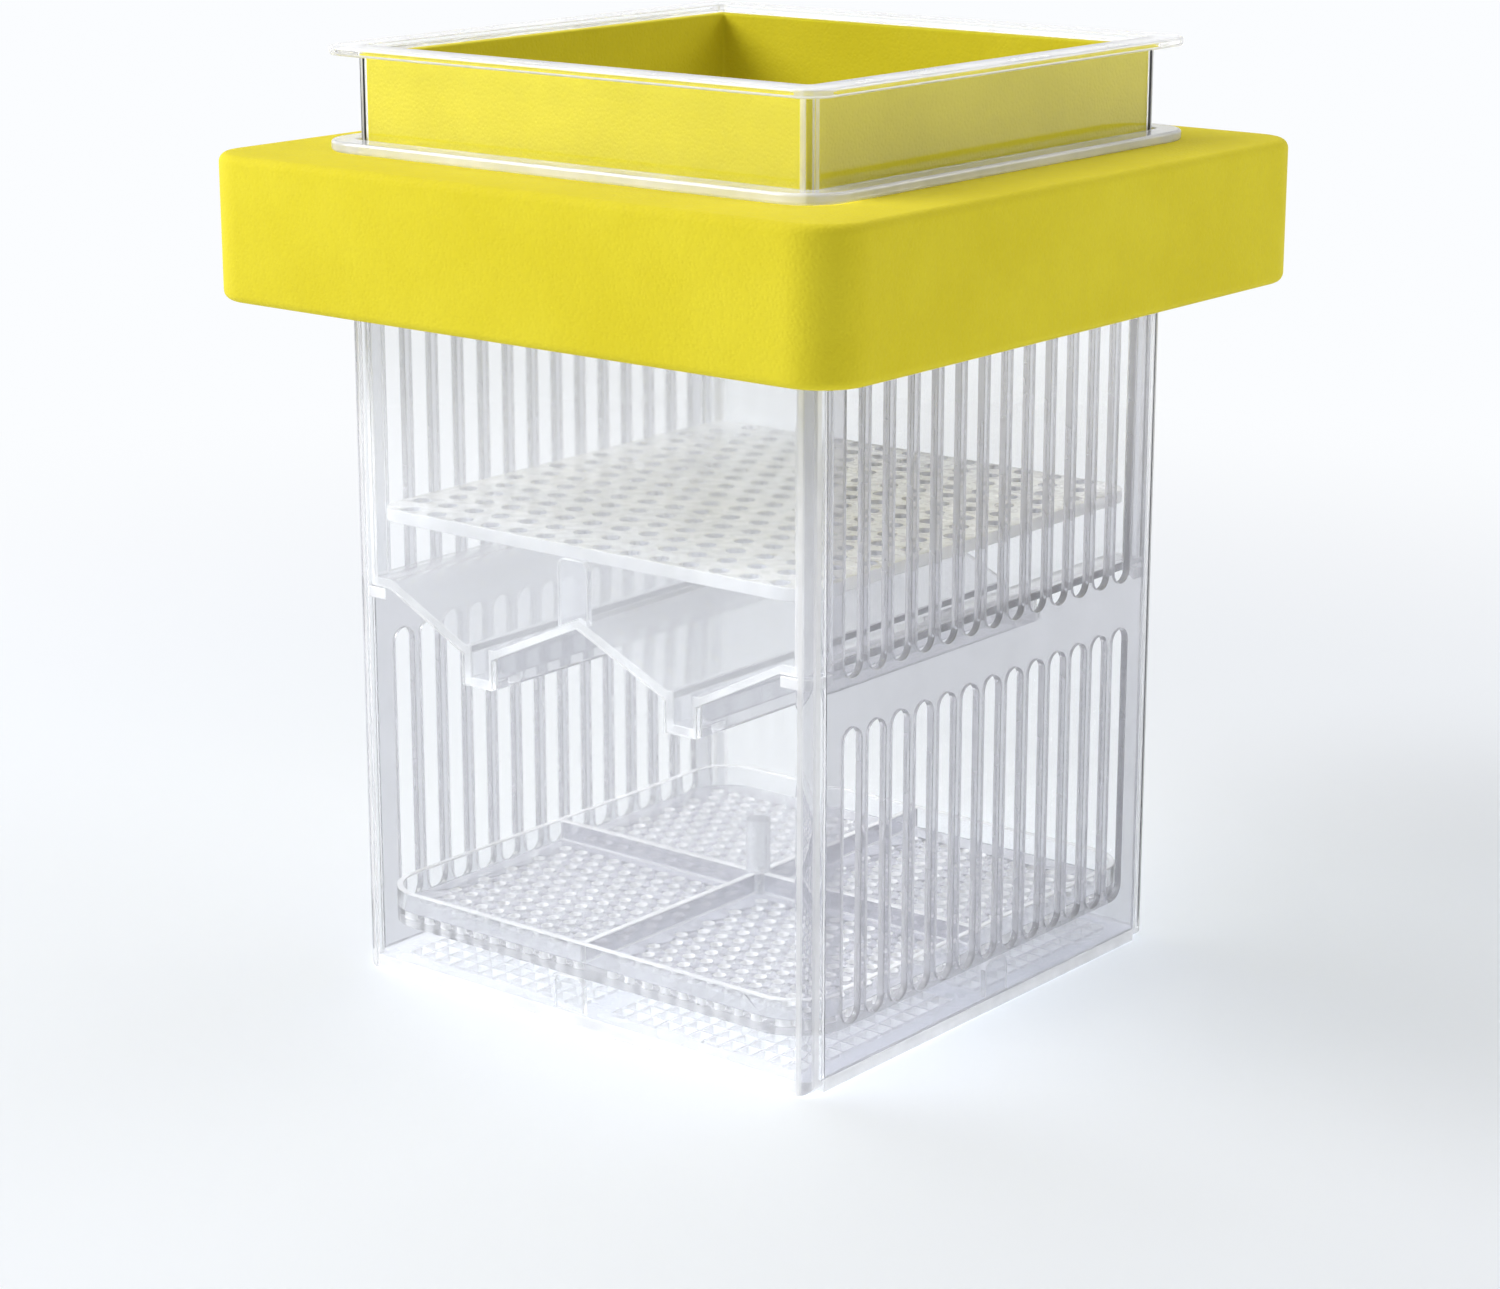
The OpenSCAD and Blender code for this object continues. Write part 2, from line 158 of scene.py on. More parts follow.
class Graph:
    """One material's or world's node tree, with one way to add any node."""

    def __init__(self, tree: bpy.types.NodeTree) -> None:
        """Empties a node tree and takes it over."""
        self.tree = tree
        tree.nodes.clear()

    def node(
        self,
        kind: str,
        settings: Optional[Mapping[str, Any]] = None,
        sockets: Optional[Mapping[Union[str, int], Any]] = None,
    ) -> bpy.types.Node:
        """Adds a node, sets it up and fills its sockets.

        Args:
            kind: The node's type.
            settings: Its properties, which are set first.
            sockets: Values or links by socket name or number.

        Returns:
            The new node.
        """
        made = self.tree.nodes.new(kind)
        for name, value in (settings or {}).items():
            setattr(made, name, value)
        for key, value in (sockets or {}).items():
            if isinstance(value, Signal):
                value = value.socket
            if isinstance(value, bpy.types.NodeSocket):
                self.tree.links.new(value, made.inputs[key])
            elif isinstance(value, tuple) and made.inputs[key].type == "RGBA":
                made.inputs[key].default_value = (*value, 1.0)
            else:
                made.inputs[key].default_value = value
        return made

    def signal(
        self,
        kind: str,
        settings: Optional[Mapping[str, Any]] = None,
        sockets: Optional[Mapping[Union[str, int], Any]] = None,
        output: Union[str, int] = 0,
    ) -> Signal:
        """Adds a node and returns one of its outputs as a signal."""
        return Signal(self, self.node(kind, settings, sockets).outputs[output])

    def place(self) -> bpy.types.NodeSocket:
        """Returns the object coordinates, in metres."""
        return self.node("ShaderNodeTexCoord").outputs["Object"]

    def noise(self, scale: float, detail: float = 2.0, roughness: float = 0.5) -> Signal:
        """Adds a noise over the object, scale in features per metre."""
        return self.signal(
            "ShaderNodeTexNoise",
            None,
            {"Vector": self.place(), "Scale": scale, "Detail": detail, "Roughness": roughness},
        )

    def cells(self, scale: float) -> Signal:
        """Adds a cell pattern over the object, scale in cells per metre."""
        return self.signal(
            "ShaderNodeTexVoronoi", {"feature": "F1"}, {"Vector": self.place(), "Scale": scale}
        )

    def mix(self, factor: Number, first: Colour, second: Colour) -> bpy.types.NodeSocket:
        """Mixes two colours by a signal."""
        made = self.node(
            "ShaderNodeMix", {"data_type": "RGBA"}, {0: factor, 6: first, 7: second}
        )
        return made.outputs[2]

    def bump(self, height: Signal, distance: float, strength: float) -> bpy.types.NodeSocket:
        """Turns a height signal into a normal.

        Args:
            height: The height, from 0 to 1.
            distance: What a height of 1 stands for, in metres.
            strength: How much of it shows.

        Returns:
            The normal.
        """
        made = self.node(
            "ShaderNodeBump", None, {"Height": height, "Distance": distance, "Strength": strength}
        )
        return made.outputs[0]


# ---------------------------------------------------------------- finishes


@dataclass(frozen=True)
class FoamFinish:
    """Closed-cell foam: matte, finely pored and slightly uneven in colour."""

    name: str
    light: Colour
    deep: Colour
    pores_per_metre: float = 1500.0
    pore_depth: float = 0.12 * MM

    def material(self) -> bpy.types.Material:
        """Builds the foam's material."""
        made = bpy.data.materials.new(self.name)
        made.use_nodes = True
        graph = Graph(made.node_tree)
        cloud = graph.noise(38.0, 4.0, 0.6)
        grain = graph.noise(900.0, 3.0, 0.7)
        pores = graph.cells(self.pores_per_metre)
        patches = (cloud * 0.7 + grain * 0.3).ramp(0.3, 0.7, 0.0, 1.0)
        colour = graph.mix(patches, self.deep, self.light)
        height = pores.ramp(0.0, 0.7, 0.0, 1.0) * 0.6 + grain * 0.4
        surface = graph.node(
            "ShaderNodeBsdfPrincipled",
            None,
            {
                "Base Color": colour,
                "Roughness": grain.ramp(0.3, 0.7, 0.72, 0.9),
                "Sheen Weight": 0.04,
                "Specular IOR Level": 0.2,
                "Normal": graph.bump(height, self.pore_depth, 0.6),
            },
        )
        graph.node("ShaderNodeOutputMaterial", None, {"Surface": surface.outputs[0]})
        return made


@dataclass(frozen=True)
class ClearFinish:
    """Clear moulded plastic, from water-clear to milky.

    The veil is how much of each surface scatters light instead of letting it through.
    On edge, hole and corner faces the milk colour and veil paint highlights or shade.
    """

    name: str
    milk: Colour
    veil: float
    haze: float = 0.04
    tint: Colour = (0.985, 0.99, 0.995)
    wave: float = 0.003 * MM
    ior: float = 1.49

    def material(self) -> bpy.types.Material:
        """Builds the plastic's material."""
        made = bpy.data.materials.new(self.name)
        made.use_nodes = True
        graph = Graph(made.node_tree)
        waves = graph.noise(28.0, 1.0, 0.4)
        clouds = graph.noise(60.0, 3.0, 0.55)
        scuffs = graph.noise(420.0, 3.0, 0.65)
        roughness = scuffs.ramp(0.35, 0.75, self.haze * 0.5, self.haze * 1.5)
        normal = graph.bump(waves, self.wave, 1.0)
        clear = graph.node(
            "ShaderNodeBsdfPrincipled",
            None,
            {
                "Base Color": self.tint,
                "Roughness": roughness,
                "IOR": self.ior,
                "Transmission Weight": 1.0,
                "Normal": normal,
            },
        )
        deep = tuple(0.93 * part for part in self.milk)
        milky = graph.node(
            "ShaderNodeBsdfPrincipled",
            None,
            {
                "Base Color": graph.mix(clouds.ramp(0.35, 0.65, 0.0, 1.0), deep, self.milk),
                "Roughness": roughness + 0.2,
                "IOR": self.ior,
                "Normal": normal,
            },
        )
        body = graph.node(
            "ShaderNodeMixShader",
            None,
            {
                0: clouds.ramp(0.3, 0.7, self.veil * 0.85, self.veil * 1.15),
                1: clear.outputs[0],
                2: milky.outputs[0],
            },
        )
        lit = graph.node("ShaderNodeBsdfTransparent", None, {"Color": (0.975, 0.98, 0.985)})
        path = graph.node("ShaderNodeLightPath")
        surface = graph.node(
            "ShaderNodeMixShader",
            None,
            {0: path.outputs["Is Shadow Ray"], 1: body.outputs[0], 2: lit.outputs[0]},
        )
        graph.node("ShaderNodeOutputMaterial", None, {"Surface": surface.outputs[0]})
        return made


class Finish(Enum):
    """The finishes that the object's pieces have."""

    RING_FOAM = FoamFinish("ring_foam", (0.85, 0.735, 0.033), (0.78, 0.66, 0.02))
    LINING_FOAM = FoamFinish("lining_foam", (0.74, 0.645, 0.025), (0.67, 0.58, 0.015))
    PANEL = ClearFinish("panel_plastic", (0.86, 0.87, 0.9), 0.03)
    # Painted highlight: milky white on the edge faces of the clear panels and base, for the
    # bright lines along clear edges
    PANEL_EDGE_HIGHLIGHT = ClearFinish("panel_edge_painted_highlight", (0.98, 0.98, 0.99), 0.6)
    # Painted shade: grey, dimmer plastic on the panels' rounded corner turns, for the dark band a
    # clear corner shows
    PANEL_TURN_SHADE = ClearFinish("panel_turn_painted_shade", (0.72, 0.73, 0.77), 0.2, tint=(0.9, 0.9, 0.92))
    GRILLE = ClearFinish("grille_plastic", (0.6, 0.6, 0.63), 0.16, tint=(0.83, 0.83, 0.86))
    # Painted shade: grey, more opaque slot walls give the slots their grey outlines
    SLOT_WALL_SHADE = ClearFinish("slot_wall_painted_shade", (0.6, 0.6, 0.63), 0.35, tint=(0.86, 0.86, 0.89))
    BASE = ClearFinish("base_plastic", (0.82, 0.82, 0.85), 0.3, tint=(0.94, 0.94, 0.96))
    # Painted highlight: milky white on the base's hole walls
    BASE_HOLE_HIGHLIGHT = ClearFinish("base_hole", (0.98, 0.98, 0.99), 0.6)
    BASKET = ClearFinish("basket_plastic", (0.9, 0.91, 0.93), 0.06)
    # Painted highlight: milky white on the edge faces of the basket's mouldings, the rests, the
    # seats and the shelf, and on the tray rim's top band
    BASKET_EDGE_HIGHLIGHT = ClearFinish("basket_edge_painted_highlight", (0.97, 0.97, 0.98), 0.55)
    NECK = ClearFinish("neck_plastic", (0.86, 0.87, 0.9), 0.0, ior=1.33)
    VALLEY = ClearFinish("valley_plastic", (0.72, 0.72, 0.75), 0.22, tint=(0.92, 0.92, 0.94))
    FLANGE = ClearFinish("flange_plastic", (0.82, 0.83, 0.87), 0.25)
    # Painted highlight: milky white on the edge faces of the box rim and the neck
    FLANGE_EDGE_HIGHLIGHT = ClearFinish("flange_edge", (0.95, 0.95, 0.97), 0.5)
    SHELF = ClearFinish("shelf_plastic", (0.97, 0.97, 1.0), 0.44, haze=0.1)
    # Painted shade: grey on the shelf's hole walls, a darker copy of the shelf's plastic
    SHELF_HOLE_SHADE = ClearFinish("shelf_hole", (0.66, 0.67, 0.72), 0.4, tint=(0.9, 0.9, 0.93))
    TRAY = ClearFinish("tray_plastic", (0.55, 0.55, 0.59), 0.3, tint=(0.82, 0.82, 0.86))
    # Painted highlight: milky white on the tray's hole walls and on the dividers' edge faces
    TRAY_HOLE_HIGHLIGHT = ClearFinish("tray_hole", (0.98, 0.98, 0.99), 0.6)


class Paint:
    """Makes each finish's material once and puts it on pieces."""

    def __init__(self) -> None:
        """Starts with no material made."""
        self.made: dict[Finish, bpy.types.Material] = {}

    def on(self, piece: bpy.types.Object, *finishes: Finish) -> None:
        """Gives a piece its finishes, one for each material slot.

        Args:
            piece: A new piece.
            finishes: The finishes, in the order of the piece's material numbers.
        """
        for finish in finishes:
            if finish not in self.made:
                self.made[finish] = finish.value.material()
            piece.data.materials.append(self.made[finish])


# ---------------------------------------------------------------- modelling by operators


class Bench:
    """The modelling bench: primitives, selections and edit-mode steps."""

    @staticmethod
    def clear() -> None:
        """Leaves edit mode and deselects everything."""
        if bpy.context.object and bpy.context.object.mode != "OBJECT":
            bpy.ops.object.mode_set(mode="OBJECT")
        bpy.ops.object.select_all(action="DESELECT")

    @classmethod
    def block(cls, name: str, low: Sequence[float], high: Sequence[float]) -> bpy.types.Object:
        """Adds a block between two corners.

        Args:
            name: The piece's name.
            low: Its lowest corner in metres.
            high: Its highest corner in metres.

        Returns:
            The block, at the origin and unscaled.
        """
        cls.clear()
        middle = [(a + b) / 2 for a, b in zip(low, high)]
        size = [b - a for a, b in zip(low, high)]
        bpy.ops.mesh.primitive_cube_add(size=1.0, location=middle, scale=size)
        bpy.ops.object.transform_apply(location=True, rotation=True, scale=True)
        piece = bpy.context.object
        piece.name = piece.data.name = name
        return piece

    @staticmethod
    def edit(piece: bpy.types.Object) -> bmesh.types.BMesh:
        """Enters edit mode on a piece with nothing selected and returns its mesh."""
        bpy.context.view_layer.objects.active = piece
        piece.select_set(True)
        if piece.mode != "EDIT":
            bpy.ops.object.mode_set(mode="EDIT")
        bpy.ops.mesh.select_all(action="DESELECT")
        return bmesh.from_edit_mesh(piece.data)

    @classmethod
    def pick_faces(cls, piece: bpy.types.Object, test: Test) -> None:
        """Selects the faces that pass a test.

        Args:
            piece: The piece in edit mode.
            test: Takes a face and says whether it is wanted.
        """
        mesh = cls.edit(piece)
        bpy.ops.mesh.select_mode(type="FACE")
        for face in mesh.faces:
            face.select_set(test(face))
        bmesh.update_edit_mesh(piece.data)

    @classmethod
    def pick_edges(cls, piece: bpy.types.Object, test: Test) -> None:
        """Selects the edges that pass a test.

        Args:
            piece: The piece in edit mode.
            test: Takes an edge and says whether it is wanted.
        """
        mesh = cls.edit(piece)
        bpy.ops.mesh.select_mode(type="EDGE")
        for edge in mesh.edges:
            edge.select_set(test(edge))
        bmesh.update_edit_mesh(piece.data)

    @classmethod
    def done(cls, piece: bpy.types.Object, angle: float = 35.0) -> bpy.types.Object:
        """Leaves edit mode and shades a piece smooth up to an angle.

        Args:
            piece: The finished piece.
            angle: Edges sharper than this many degrees stay crisp.

        Returns:
            The piece.
        """
        bpy.ops.object.mode_set(mode="OBJECT")
        cls.clear()
        bpy.context.view_layer.objects.active = piece
        piece.select_set(True)
        bpy.ops.object.shade_smooth_by_angle(angle=math.radians(angle))
        cls.clear()
        return piece

    @classmethod
    def settle_normals(cls, piece: bpy.types.Object) -> None:
        """Keeps the broad faces of a smooth piece flat in their shading."""
        cls.clear()
        bpy.context.view_layer.objects.active = piece
        piece.select_set(True)
        bpy.ops.object.modifier_add(type="WEIGHTED_NORMAL")
        settle = piece.modifiers[-1]
        settle.weight, settle.keep_sharp = 100, True
        bpy.ops.object.modifier_apply(modifier=settle.name)
        cls.clear()


def upright(edge: Any) -> bool:
    """Says whether an edge stands upright."""
    first, second = (vertex.co for vertex in edge.verts)
    return abs(first.z - second.z) > ALONG * (first - second).length


def reach(point: Vector) -> float:
    """Returns how far out a point lies from the upright axis, on a square's terms."""
    return max(abs(point.x), abs(point.y))


def turning(face: Any) -> bool:
    """Says whether a face lies in the middle of an upright corner's turn."""
    return min(abs(face.normal.x), abs(face.normal.y)) > TURN


def between(low: float, high: float, test: Test) -> Test:
    """Narrows a test on faces to those whose middle lies between two heights.

    Args:
        low: The lower height in metres.
        high: The upper height in metres.
        test: The test to narrow.

    Returns:
        The narrowed test.
    """
    return lambda face: low < face.calc_center_median().z < high and test(face)


def inside(half: float, radius: float, depth: float) -> Test:
    """Makes a test for the faces of a plate that lie well inside its outline.

    Args:
        half: Half the plate's width.
        radius: The plate's corner radius.
        depth: How far inside the outline the wanted faces begin.

    Returns:
        A test that takes a face, such as one in the wall of a hole.
    """

    def test(face: Any) -> bool:
        place = face.calc_center_median()
        past = [abs(part) - (half - radius) for part in (place.x, place.y)]
        rounded = math.hypot(*(max(part, 0.0) for part in past)) + min(max(past), 0.0)
        return radius - rounded > depth and abs(face.normal.z) < ALONG

    return test


# ---------------------------------------------------------------- soft sub-assemblies


@dataclass
class FoamFrame:
    """A square foam frame: a block bored through, its corners and edges rounded.

    The fill, how tightly the foam is padded from 0, slack, to 1, full, is not used.
    """

    name: str
    node: str
    body: str
    slot: str
    finish: Finish
    half: float
    wall: float
    bottom: float
    top: float
    radius: float
    bore_radius: float
    edge: float
    fill: float = 1.0

    def build(self) -> bpy.types.Object:
        """Models the frame.

        Returns:
            The finished piece.
        """
        piece = Bench.block(
            self.name, (-self.half, -self.half, self.bottom), (self.half, self.half, self.top)
        )
        Bench.pick_faces(piece, lambda face: abs(face.normal.z) > ALONG)
        bpy.ops.mesh.inset(thickness=self.wall, depth=0.0)
        bpy.ops.mesh.bridge_edge_loops()
        middle = self.half - self.wall / 2
        for outside, radius in ((True, self.radius), (False, self.bore_radius)):
            Bench.pick_edges(
                piece,
                lambda edge: upright(edge) and (reach(edge.verts[0].co) > middle) == outside,
            )
            bpy.ops.mesh.bevel(offset=radius, segments=12, affect="EDGES", clamp_overlap=False)
        Bench.pick_edges(
            piece,
            lambda edge: not upright(edge)
            and len(edge.link_faces) == 2
            and edge.calc_face_angle(0.0) > SQUARE_EDGE,
        )
        bpy.ops.mesh.bevel(offset=self.edge, segments=5, affect="EDGES", clamp_overlap=False)
        return Bench.done(piece)

    def place(self, paint: Paint) -> bpy.types.Object:
        """Models, dresses and mounts the frame."""
        piece = self.build()
        paint.on(piece, self.finish)
        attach(piece, self.body)
        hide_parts(self.node)
        log.info("%s: %d faces", self.name, len(piece.data.polygons))
        return piece


# ---------------------------------------------------------------- clear sub-assemblies


class Broad(Enum):
    """Which way a moulding's broad faces look; all its other faces are edges."""

    SIDEWAYS = (1.0, 0.0, 0.0)
    FLAT = (0.0, 0.0, 1.0)
    UPRIGHT = (1.0, 1.0, 0.0)
    SLOPING = (1.0, 0.0, 1.0)

    def has(self, normal: Vector) -> bool:
        """Says whether a face with this normal is a broad one."""
        if self is Broad.SLOPING:
            return abs(normal.y) < SHEET_END
        return max(abs(a) * b for a, b in zip(normal, self.value)) > BROADSIDE


@dataclass
class Moulding:
    """One clear piece: the CAD's own form, merged, with its edges softly broken."""

    node: str
    body: str
    faces: Finish
    edges: Finish
    broad: Broad
    chamfer: float = 0.22 * MM
    steps: int = 2
    perforated: bool = False
    hair: float = 0.02 * MM
    accents: Sequence[tuple[Finish, Test]] = ()

    def build(self) -> bpy.types.Object:
        """Models the moulding from a copy of its CAD form.

        Returns:
            The finished piece.
        """
        Bench.clear()
        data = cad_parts[self.node].data.copy()
        piece = bpy.data.objects.new(self.node + "_moulding", data)
        data.name = piece.name
        data.materials.clear()
        bpy.context.scene.collection.objects.link(piece)
        Bench.edit(piece)
        bpy.ops.mesh.select_all(action="SELECT")
        bpy.ops.mesh.remove_doubles(threshold=MERGE)
        if not self.perforated:
            bpy.ops.mesh.dissolve_limited(angle_limit=math.radians(FLAT_ANGLE))
        bpy.ops.transform.shrink_fatten(value=-self.hair, use_even_offset=True)
        bpy.ops.mesh.select_all(action="DESELECT")
        bpy.ops.mesh.select_mode(type="EDGE")
        bpy.ops.mesh.edges_select_sharp(sharpness=math.radians(SHARP_ANGLE))
        bpy.ops.mesh.bevel(
            offset=self.chamfer, segments=self.steps, affect="EDGES", clamp_overlap=False
        )
        return Bench.done(piece, CRISP_ANGLE)

    def dress(self, piece: bpy.types.Object, paint: Paint) -> None:
        """Gives the broad faces one finish, the edges another, and then the accents.

        Most edge finishes and accents paint highlights or shade on the clear plastic.
        """
        tests = [lambda face: not self.broad.has(face.normal)]
        tests += [test for _, test in self.accents]
        paint.on(piece, self.faces, self.edges, *(finish for finish, _ in self.accents))
        for number, test in enumerate(tests, 1):
            Bench.pick_faces(piece, test)
            piece.active_material_index = number
            bpy.ops.object.material_slot_assign()
        bpy.ops.object.mode_set(mode="OBJECT")
        Bench.settle_normals(piece)

    def place(self, paint: Paint) -> bpy.types.Object:
        """Models, dresses and mounts the moulding."""
        piece = self.build()
        self.dress(piece, paint)
        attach(piece, self.body)
        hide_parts(self.node)
        log.info("%s: %d faces", piece.name, len(piece.data.polygons))
        return piece


# ---------------------------------------------------------------- studio


def outward(azimuth: float, elevation: float) -> Vector:
    """Returns the direction from the object to a camera or lamp.

    Args:
        azimuth: The direction in degrees, 0 from the front and 90 from the right.
        elevation: The height above the horizon in degrees.

    Returns:
        A unit vector.
    """
    turn, rise = math.radians(azimuth), math.radians(elevation)
    return Vector(
        (math.sin(turn) * math.cos(rise), -math.cos(turn) * math.cos(rise), math.sin(rise))
    )


def mount(name: str, data: bpy.types.ID, place: Vector, back: Vector) -> bpy.types.Object:
    """Puts a camera or lamp in the scene so that it looks along a direction.

    Args:
        name: The object's name.
        data: The camera or lamp.
        place: Where it stands.
        back: The direction that it turns its back to.

    Returns:
        The new object.
    """
    made = bpy.data.objects.new(name, data)
    made.location = place
    made.rotation_mode = "QUATERNION"
    made.rotation_quaternion = (-back).to_track_quat("-Z", "Y")
    bpy.context.scene.collection.objects.link(made)
    return made


@dataclass(frozen=True)
class Lamp:
    """A soft square lamp that looks at the object: angles, metres and watts."""

    name: str
    azimuth: float
    elevation: float
    distance: float
    size: float
    power: float
    aim_height: float = 80.0 * MM

    def build(self) -> None:
        """Hangs the lamp."""
        back = outward(self.azimuth, self.elevation)
        data = bpy.data.lights.new(self.name, "AREA")
        data.energy = self.power
        data.size = self.size
        mount(self.name, data, Vector((0.0, 0.0, self.aim_height)) + back * self.distance, back)


@dataclass
class Studio:
    """Floor, lamps, world and camera."""

    azimuth: float = 38.85
    elevation: float = 15.40
    distance: float = 624.9 * MM
    sideways: float = -1.85 * MM
    target_height: float = 56.92 * MM
    lens: float = 85.17
    bounces: int = 40
    floor_size: float = 6.0
    floor_drop: float = 0.2 * MM
    floor_lit: float = 0.12
    floor_pale: float = 0.5
    lamps: tuple[Lamp, ...] = (
        Lamp("left", -48.0, 35.0, 1.3, 0.7, 13.3),
        Lamp("right", 134.0, 30.0, 1.3, 0.7, 4.3),
        Lamp("top", 220.0, 75.0, 1.4, 0.9, 3.5),
    )

    def camera(self) -> None:
        """Sets up the camera at the photograph's viewing angle."""
        turn = math.radians(self.azimuth)
        right = Vector((math.cos(turn), math.sin(turn), 0.0))
        back = outward(self.azimuth, self.elevation)
        data = bpy.data.cameras.new("camera")
        data.lens = self.lens
        data.sensor_width = 36.0
        data.clip_start, data.clip_end = 0.01, 50.0
        target = Vector((0.0, 0.0, self.target_height))
        place = target + right * self.sideways + back * self.distance
        bpy.context.scene.camera = mount("camera", data, place, back)

    def world(self) -> None:
        """Gives the surroundings: a pale sky for the eye and a plain fill light."""
        world = bpy.data.worlds.new("pale_room")
        world.use_nodes = True
        graph = Graph(world.node_tree)
        path = graph.node("ShaderNodeLightPath")
        straight = 1.0 - Signal(graph, path.outputs["Diffuse Depth"])
        seen = (
            Signal(graph, path.outputs["Is Camera Ray"])
            + Signal(graph, path.outputs["Is Glossy Ray"])
            + Signal(graph, path.outputs["Is Transmission Ray"])
        ) * straight.ramp(0.0, 1.0, 0.0, 1.0)
        pale = graph.node("ShaderNodeBackground", None, {"Color": SKY, "Strength": 1.0})
        fill = graph.node("ShaderNodeBackground", None, {"Color": WHITE, "Strength": FILL})
        mixed = graph.node(
            "ShaderNodeMixShader", None, {0: seen, 1: fill.outputs[0], 2: pale.outputs[0]}
        )
        graph.node("ShaderNodeOutputWorld", None, {"Surface": mixed.outputs[0]})
        bpy.context.scene.world = world

    def floor(self) -> None:
        """Lays the pale floor, lit near the object and plain pale far from it."""
        Bench.clear()
        bpy.ops.mesh.primitive_plane_add(
            size=self.floor_size, location=(0.0, 0.0, -self.floor_drop)
        )
        floor = bpy.context.object
        floor.name = "floor"
        made = bpy.data.materials.new("pale_floor")
        made.use_nodes = True
        graph = Graph(made.node_tree)
        place = graph.place()
        far = graph.signal("ShaderNodeVectorMath", {"operation": "LENGTH"}, {0: place}, 1)
        near = graph.node(
            "ShaderNodeBsdfPrincipled",
            None,
            {"Base Color": PALE_FLOOR, "Roughness": 0.8},
        )
        away = graph.node("ShaderNodeEmission", None, {"Color": SKY, "Strength": 1.0})
        surface = graph.node(
            "ShaderNodeMixShader",
            None,
            {
                0: far.ramp(self.floor_lit, self.floor_pale, 0.0, 1.0),
                1: near.outputs[0],
                2: away.outputs[0],
            },
        )
        graph.node("ShaderNodeOutputMaterial", None, {"Surface": surface.outputs[0]})
        floor.data.materials.append(made)
        Bench.clear()

    def build(self) -> None:
        """Sets the whole stage."""
        scene = bpy.context.scene
        scene.view_settings.view_transform = "Standard"
        scene.cycles.max_bounces = self.bounces
        scene.cycles.transmission_bounces = self.bounces
        scene.cycles.transparent_max_bounces = self.bounces
        self.camera()
        self.world()
        self.floor()
        for lamp in self.lamps:
            lamp.build()


# ---------------------------------------------------------------- the object


def node_numbers(name: str) -> tuple[float, float, float]:
    """Returns a node's half width, bottom and top, in metres."""
    low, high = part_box(name)
    return high[0], low[2], high[2]


def soft_pieces() -> list[FoamFrame]:
    """Describes the float ring and the neck's lining, from the CAD's own sizes."""
    ring_half, ring_bottom, ring_top = node_numbers("float_ring")
    lining_half, lining_bottom, lining_top = node_numbers("neck_liner")
    return [
        FoamFrame(
            name="foam_float_ring",
            node="float_ring",
            body="ring",
            slot="float_foam",
            finish=Finish.RING_FOAM,
            half=ring_half,
            wall=16.9 * MM,
            bottom=ring_bottom,
            top=ring_top,
            radius=9.5 * MM,
            bore_radius=3.3 * MM,
            edge=1.6 * MM,
        ),
        FoamFrame(
            name="foam_neck_lining",
            node="neck_liner",
            body="basket",
            slot="liner_foam",
            finish=Finish.LINING_FOAM,
            half=lining_half,
            wall=2.5 * MM,
            bottom=lining_bottom,
            top=lining_top,
            radius=1.2 * MM,
            bore_radius=0.6 * MM,
            edge=0.5 * MM,
        ),
    ]


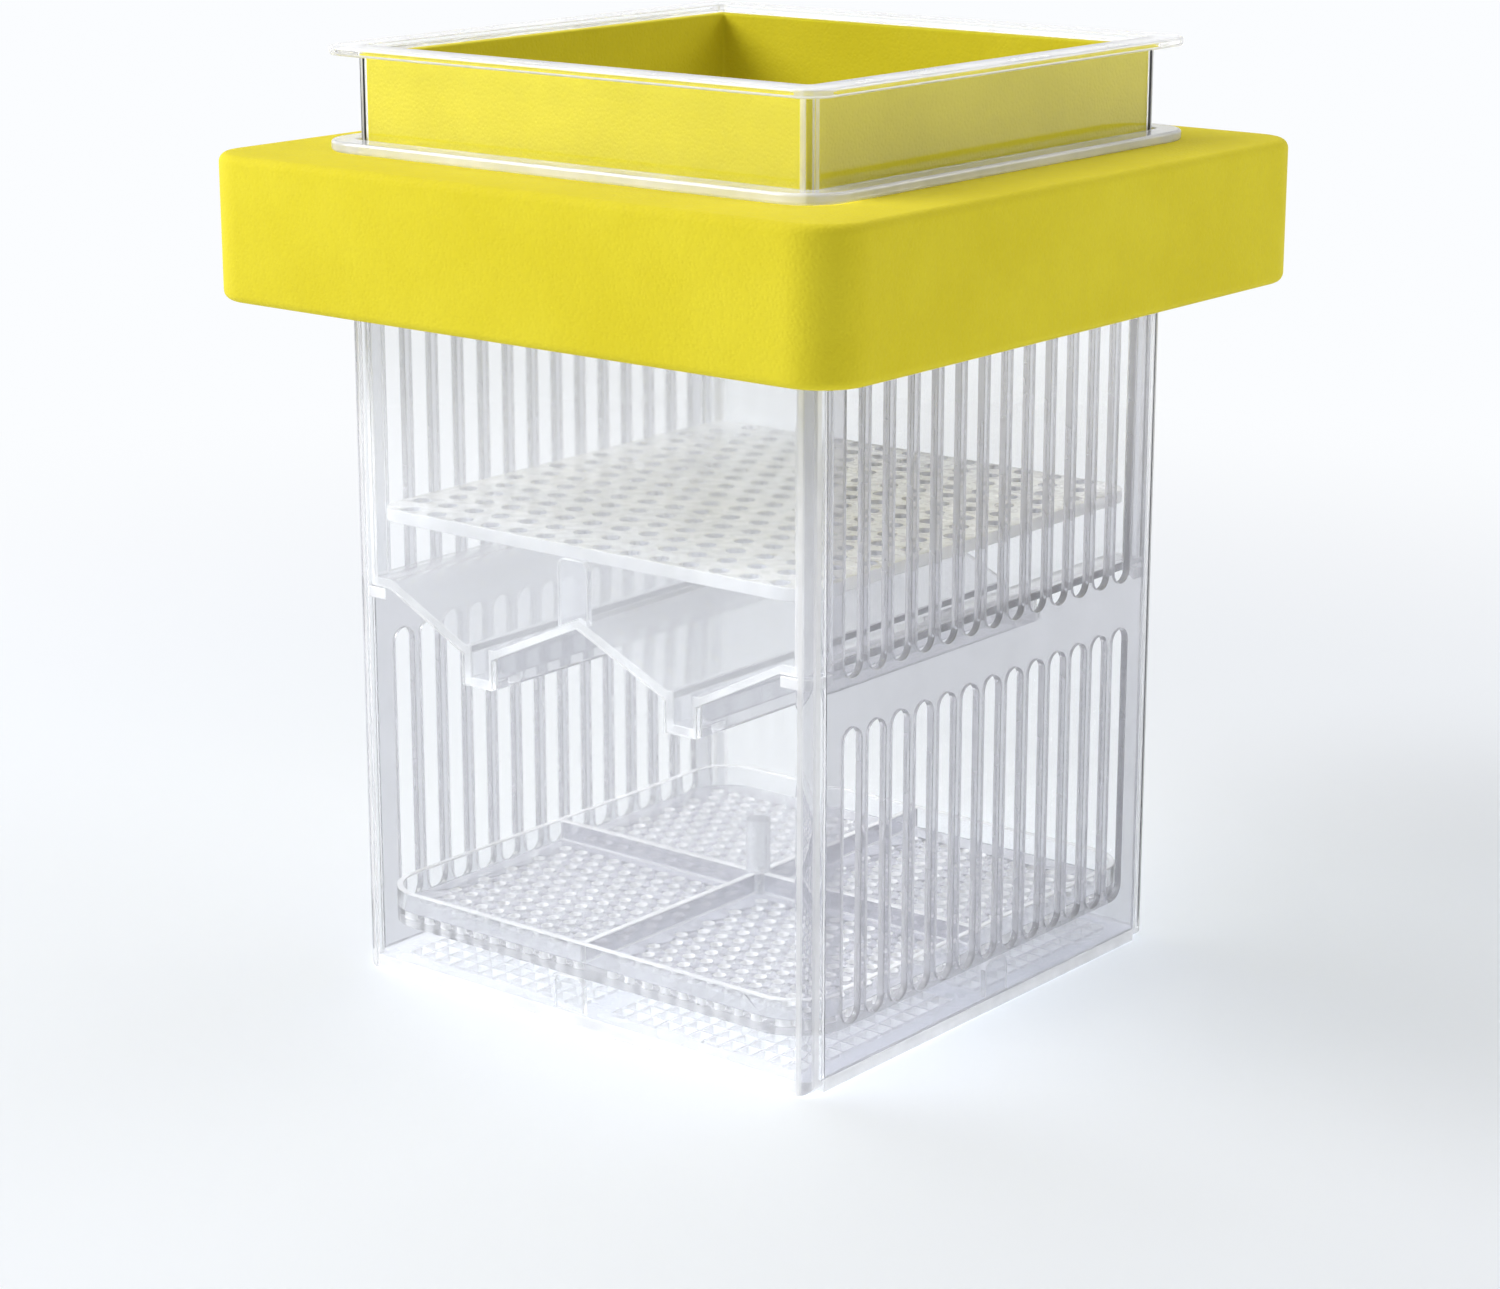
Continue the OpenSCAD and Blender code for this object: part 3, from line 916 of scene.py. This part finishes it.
def mouldings() -> list[Moulding]:
    """Describes the clear pieces, from the outside in."""

    def along_rim_highlight(face: Any) -> bool:
        """Says whether a face lies in the painted highlight band along the upper edge of the
        tray's rim.
        """
        return face.calc_center_median().z > tray_top - RIM_HIGHLIGHT_BAND

    shelf_half, _, _ = node_numbers("spawning_shelf")
    tray_half, _, tray_top = node_numbers("fry_tray")
    base_half, _, _ = node_numbers("base_grid")
    _, neck_bottom, neck_top = node_numbers("basket_neck")
    panel = dict(
        body="box",
        faces=Finish.PANEL,
        edges=Finish.PANEL_EDGE_HIGHLIGHT,
        broad=Broad.UPRIGHT,
        # painted shade on the corners' turns
        accents=[(Finish.PANEL_TURN_SHADE, turning)],
    )
    grille = dict(body="box", faces=Finish.GRILLE, edges=Finish.SLOT_WALL_SHADE, broad=Broad.SIDEWAYS)
    wall = dict(
        body="basket", faces=Finish.BASKET, edges=Finish.BASKET_EDGE_HIGHLIGHT, broad=Broad.UPRIGHT
    )
    rest = dict(wall, faces=Finish.VALLEY)
    plate = dict(broad=Broad.FLAT, chamfer=0.15 * MM, steps=1)
    divider = dict(
        body="tray",
        faces=Finish.TRAY,
        edges=Finish.TRAY_HOLE_HIGHLIGHT,
        broad=Broad.UPRIGHT,
        chamfer=0.15 * MM,
    )
    return [
        Moulding("front_panel", **panel),
        Moulding("back_panel", **panel),
        Moulding("left_slot_panel", **grille),
        Moulding("right_slot_panel", **grille),
        Moulding(
            "base_grid",
            body="box",
            faces=Finish.BASE,
            edges=Finish.PANEL_EDGE_HIGHLIGHT,
            perforated=True,
            accents=[(Finish.BASE_HOLE_HIGHLIGHT, inside(base_half, 3.0 * MM, 2.0 * MM))],
            **plate,
        ),
        Moulding(
            "tray_rests",
            body="box",
            faces=Finish.BASKET,
            edges=Finish.BASKET_EDGE_HIGHLIGHT,
            broad=Broad.UPRIGHT,
            chamfer=0.15 * MM,
        ),
        Moulding(
            "basket_seats",
            body="box",
            faces=Finish.BASKET,
            edges=Finish.BASKET_EDGE_HIGHLIGHT,
            broad=Broad.FLAT,
        ),
        Moulding(
            "box_rim",
            body="box",
            faces=Finish.FLANGE,
            edges=Finish.FLANGE_EDGE_HIGHLIGHT,
            broad=Broad.FLAT,
        ),
        Moulding(
            "basket_neck",
            body="basket",
            faces=Finish.NECK,
            edges=Finish.FLANGE_EDGE_HIGHLIGHT,
            broad=Broad.UPRIGHT,
            accents=[(Finish.NECK, between(neck_bottom, neck_top - 2.0 * MM, turning))],
        ),
        Moulding("basket_front_wall", **wall),
        Moulding("basket_back_wall", **wall),
        Moulding(
            "hatchery_floor",
            body="basket",
            faces=Finish.VALLEY,
            edges=Finish.BASKET_EDGE_HIGHLIGHT,
            broad=Broad.SLOPING,
        ),
        Moulding("front_shelf_rest", **rest),
        Moulding("back_shelf_rest", **rest),
        Moulding(
            "spawning_shelf",
            body="shelf",
            faces=Finish.SHELF,
            edges=Finish.BASKET_EDGE_HIGHLIGHT,
            perforated=True,
            accents=[(Finish.SHELF_HOLE_SHADE, inside(shelf_half, 5.0 * MM, 0.4 * MM))],
            **plate,
        ),
        Moulding(
            "fry_tray",
            body="tray",
            faces=Finish.TRAY,
            edges=Finish.BASKET,
            perforated=True,
            accents=[
                (Finish.TRAY_HOLE_HIGHLIGHT, inside(tray_half, 9.0 * MM, 2.0 * MM)),
                # painted highlight band along the rim's top
                (Finish.BASKET_EDGE_HIGHLIGHT, along_rim_highlight),
            ],
            **plate,
        ),
        Moulding("lengthwise_divider", **divider),
        Moulding("crosswise_divider", **divider),
        Moulding("lifting_post", **dict(divider, broad=Broad.FLAT, edges=Finish.FLANGE)),
    ]


def main() -> None:
    """Builds the stage and the object."""
    logging.basicConfig(level=logging.INFO, format="%(name)s: %(message)s")
    Studio().build()
    paint = Paint()
    for frame_piece in soft_pieces():
        frame_piece.place(paint)
    for moulding in mouldings():
        moulding.place(paint)


if __name__ == "__main__":
    main()
